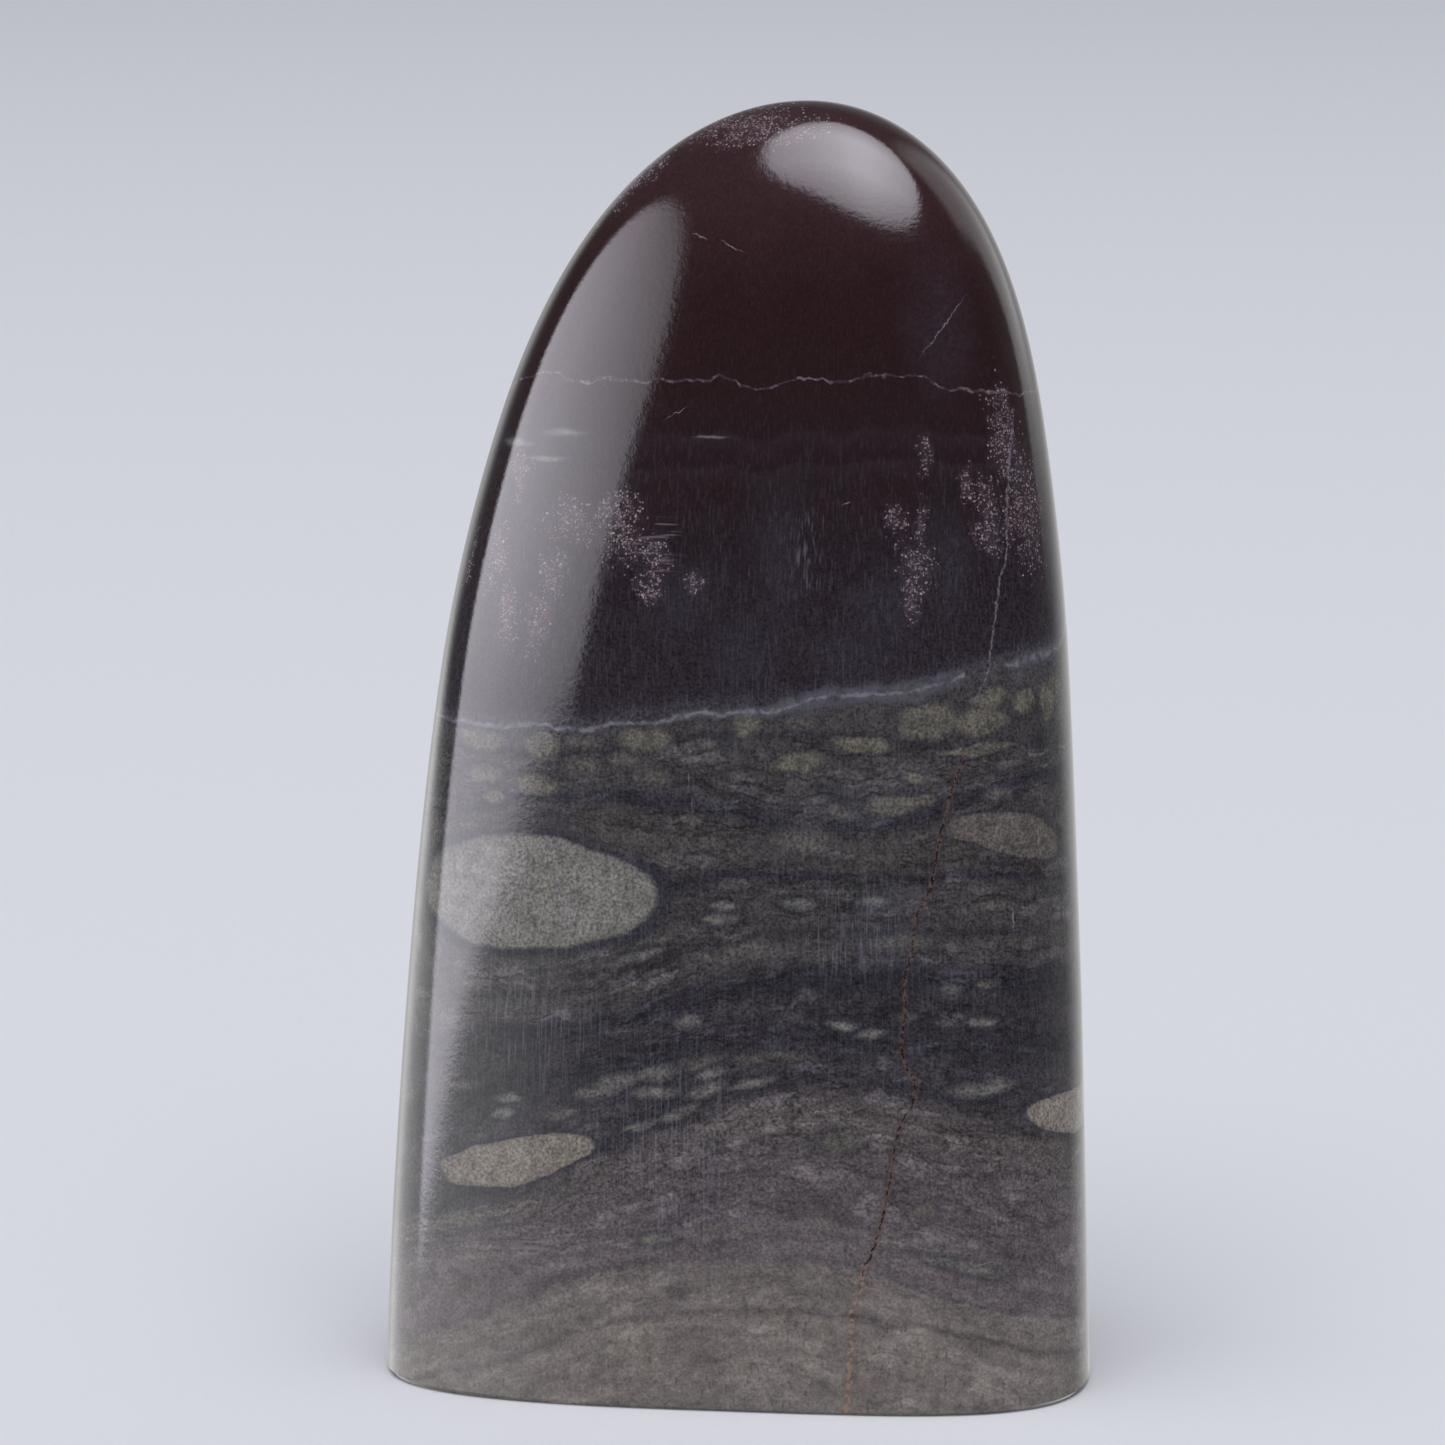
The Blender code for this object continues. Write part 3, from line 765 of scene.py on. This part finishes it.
    def marks(self):
        """Pale threads, a painted bluish sheen, upright polishing lines and patches of short strokes."""
        threads = self.spread(self.nearest(self.near, THREADS, depth_share=3.0), 1.3, 0.4, 0.0, 0.75)
        self.paint(self.times(threads, self.spread(self.crumbs, 0.3, 0.55, 0.3, 1.0)), THREAD)
        # Painted reflection: soft bluish sheen patches
        sheen_mask = self.spread(self.nearest(self.stained, PAINTED_SHEEN_PATCHES), 1.9, 0.0, 0.0, 0.2)
        self.paint(self.times(sheen_mask, self.spread(self.crumbs, 0.35, 0.65, 0.4, 1.0)), PAINTED_SHEEN_TONE)
        drawn_up = self.vector("MULTIPLY", self.place, UPRIGHT_LINES)
        lines = self.spread(self.noise(drawn_up, 1.0, 2.0), 0.5, 0.7)
        rubbed = self.times(self.spread(self.nearest(self.stained, RUBBED), 1.4, 0.3, 0.07, 0.26),
                            self.spread(self.z, 80.0, 66.0, 0.25, 1.0))
        self.paint(self.times(lines, rubbed), UPRIGHT_LINE)
        for members, turn in STROKES:
            turned = self.fed(self.node("ShaderNodeMapping"), self.place)
            turned.inputs["Rotation"].default_value = (0.0, math.radians(turn), 0.0)
            turned.inputs["Scale"].default_value = STROKE_SCALE
            stroke = self.spread(self.noise(turned.outputs[0], 1.0, 1.0), 0.52, 0.66)
            patch = self.spread(self.nearest(self.stained, members), 1.2, 0.6, 0.0, 0.32)
            self.paint(self.times(stroke, patch), STROKE)

    def finish(self, shader):
        """Feed the shader: colour, roughness and the polish's faint unevenness."""
        self.feed(shader.inputs["Base Color"], self.colour)
        rough = self.spread(self.grain, 0.3, 0.7, POLISH, POLISH + GRAIN_ROUGH)
        rough = self.math("MULTIPLY_ADD", self.dots, DOT_ROUGH, rough)
        rough = self.math("MULTIPLY_ADD", self.crust, CRUST_ROUGH, rough)
        self.feed(shader.inputs["Roughness"], rough)
        bump = self.node("ShaderNodeBump")
        bump.inputs["Strength"].default_value = BUMP_STRENGTH
        bump.inputs["Distance"].default_value = BUMP_HEIGHT
        self.feed(bump.inputs["Height"], self.noise(self.place, 2.2, 3.0, 0.6))
        self.feed(shader.inputs["Normal"], bump.outputs[0])
        shader.inputs["IOR"].default_value = IOR


def polished_jade():
    material = bpy.data.materials.new("polished_liver_jade")
    material.use_nodes = True
    pattern = Jade(material.node_tree)
    pattern.layers()
    pattern.fabric()
    pattern.small_pebbles()
    pattern.large_pebbles()
    pattern.grit()
    pattern.veins()
    pattern.speckles()
    pattern.crack()
    pattern.marks()
    pattern.finish(material.node_tree.nodes["Principled BSDF"])
    return material


stone = bpy.data.objects.new("jade_stone", stone_mesh())
bpy.context.scene.collection.objects.link(stone)
stone.data.materials.append(polished_jade())
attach(stone, "root")
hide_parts("liver_jade_stone")

# The stage

FLOOR_HALF = 2.7
PAPER = (0.89, 0.905, 0.97, 1.0)
# The key light's centre and its two sides, and its radiance, 1 for screen white
KEY_CENTRE, KEY_ACROSS, KEY_UP = (-0.2, -1.0, 3.0), Vector((3.0, 0.0, 0.0)), Vector((0.0, 2.85, 0.95))
KEY_RADIANCE = 2.0
# The world's light on the floor and stone, what the camera sees past the floor, and the softboxes' tint
SKY_LIGHT = (0.35, 0.355, 0.37, 1.0)
HORIZON = (0.575, 0.593, 0.648, 1.0)
BOX_TINT = (1.0, 0.97, 1.07)
# Round softboxes, by where a direction meets the plane one unit toward them
Disc = namedtuple("Disc", "middle radius gain")
LEFT_DISC = Disc((-0.66, 0.30), 0.87, 5.3)
TOP_DISC = Disc((0.28, -0.46), 0.64, 8.0)


def key_light():
    """A soft rectangular light above the front. The polish doesn't mirror it."""
    data = bpy.data.lights.new("soft_key", "AREA")
    data.shape = "RECTANGLE"
    data.size, data.size_y = KEY_ACROSS.length, KEY_UP.length
    data.energy = KEY_RADIANCE * math.pi * KEY_ACROSS.length * KEY_UP.length
    light = bpy.data.objects.new("soft_key", data)
    x_axis, y_axis = KEY_ACROSS.normalized(), KEY_UP.normalized()
    turn = Matrix((x_axis, y_axis, x_axis.cross(y_axis))).transposed().to_4x4()
    light.matrix_world = Matrix.Translation(KEY_CENTRE) @ turn
    light.visible_camera = False
    light.visible_glossy = False
    bpy.context.scene.collection.objects.link(light)


def pale_floor():
    mesh = bpy.data.meshes.new("floor")
    corners = [(-1, -1), (1, -1), (1, 1), (-1, 1)]
    mesh.from_pydata([(x * FLOOR_HALF, y * FLOOR_HALF, 0.0) for x, y in corners], [], [(0, 1, 2, 3)])
    paper = bpy.data.materials.new("pale_paper")
    paper.use_nodes = True
    shader = paper.node_tree.nodes["Principled BSDF"]
    shader.inputs["Base Color"].default_value = PAPER
    shader.inputs["Roughness"].default_value = 1.0
    shader.inputs["Specular IOR Level"].default_value = 0.0
    mesh.materials.append(paper)
    floor = bpy.data.objects.new("floor", mesh)
    floor.visible_glossy = False
    bpy.context.scene.collection.objects.link(floor)


def softbox(wires, toward, first, second, disc):
    """A disc of light, with the two places on its plane that a direction meets."""
    near = wires.math("MAXIMUM", toward, 0.001)
    first, second = wires.math("DIVIDE", first, near), wires.math("DIVIDE", second, near)
    away = wires.vector("SUBTRACT", wires.joined(first, second), (*disc.middle, 0.0))
    light = wires.spread(wires.vector("LENGTH", away), disc.radius * 1.05, disc.radius * 0.93, 0.0, disc.gain)
    return first, second, wires.times(light, wires.math("GREATER_THAN", toward, 0.01))


def studio_world():
    """What the polish mirrors: two softboxes, a faint one at the right, the backdrop and the floor."""
    world = bpy.data.worlds.new("studio")
    world.use_nodes = True
    bpy.context.scene.world = world
    w = Wires(world.node_tree)
    right, back, up = w.split(w.node("ShaderNodeTexCoord").outputs["Generated"])

    # The left softbox is cut off below, and dims upward and toward the camera
    back_along, up_along, left_box = softbox(w, w.math("MULTIPLY", right, -1.0), back, up, LEFT_DISC)
    left_box = w.times(left_box, w.spread(w.math("MULTIPLY_ADD", back_along, 0.125, up_along), -0.195, -0.15),
                       w.spread(up_along, -0.05, 0.2, 0.74, 1.0),
                       w.spread(up_along, 0.25, 1.15, 1.0, 0.27, smooth=False),
                       w.spread(back_along, -1.35, -0.35, 0.5, 1.1, smooth=False))
    # The one overhead dims toward its rim
    right_over, back_over, top_box = softbox(w, up, right, back, TOP_DISC)
    top_box = w.times(top_box, w.spread(right_over, 0.35, 0.9, 1.0, 0.5, smooth=False),
                      w.spread(right_over, -0.35, 0.2, 0.5, 1.0, smooth=False),
                      w.spread(back_over, -0.55, -1.1, 1.0, 0.38, smooth=False),
                      w.spread(back_over, -0.15, 0.2, 1.0, 0.4, smooth=False))
    right_box = w.times(w.spread(right, 0.88, 0.82), w.spread(right, 0.45, 0.62),
                        w.spread(up, -0.08, 0.12, 0.0, 0.85), w.spread(back, 0.0, 0.2))

    backdrop = w.total(w.spread(back, 0.5, 0.9, 0.0, 0.4), w.spread(back, -0.1, 0.4, 0.04, 0.14))
    backdrop = w.times(backdrop, w.spread(up, 0.18, 0.45, 1.0, 0.45))
    backdrop_left = w.times(w.spread(right, -0.2, -0.6), w.spread(back, 0.6, 0.95, 0.0, 0.5))
    floor = w.times(w.spread(up, -0.04, -0.14), w.spread(back, -0.75, -0.2, 0.0, 0.15))
    floor_left = w.times(w.spread(up, -0.02, -0.13), w.spread(right, -0.25, -0.85, 0.0, 1.45))

    plain = w.total(backdrop, right_box, backdrop_left, floor, floor_left)
    mirrored = w.vector("MULTIPLY_ADD", BOX_TINT, w.total(left_box, top_box), plain)
    path = w.node("ShaderNodeLightPath").outputs
    seen = w.mix(path["Is Glossy Ray"], SKY_LIGHT, mirrored)
    seen = w.mix(path["Is Camera Ray"], seen, HORIZON)
    w.feed(world.node_tree.nodes["Background"].inputs["Color"], seen)


def photo_camera():
    data = bpy.data.cameras.new("camera")
    data.sensor_width = SENSOR_WIDTH
    data.lens = FOCAL_PIXELS * SENSOR_WIDTH / PHOTO_SIDE
    camera = bpy.data.objects.new("camera", data)
    toward_camera = Vector((0.0, -math.cos(CAMERA_ELEVATION), math.sin(CAMERA_ELEVATION)))
    camera.location = CAMERA_TARGET + CAMERA_DISTANCE * toward_camera
    camera.rotation_euler = toward_camera.to_track_quat("Z", "Y").to_euler()
    bpy.context.scene.collection.objects.link(camera)
    bpy.context.scene.camera = camera


key_light()
pale_floor()
studio_world()
photo_camera()
bpy.context.scene.view_settings.view_transform = "Standard"
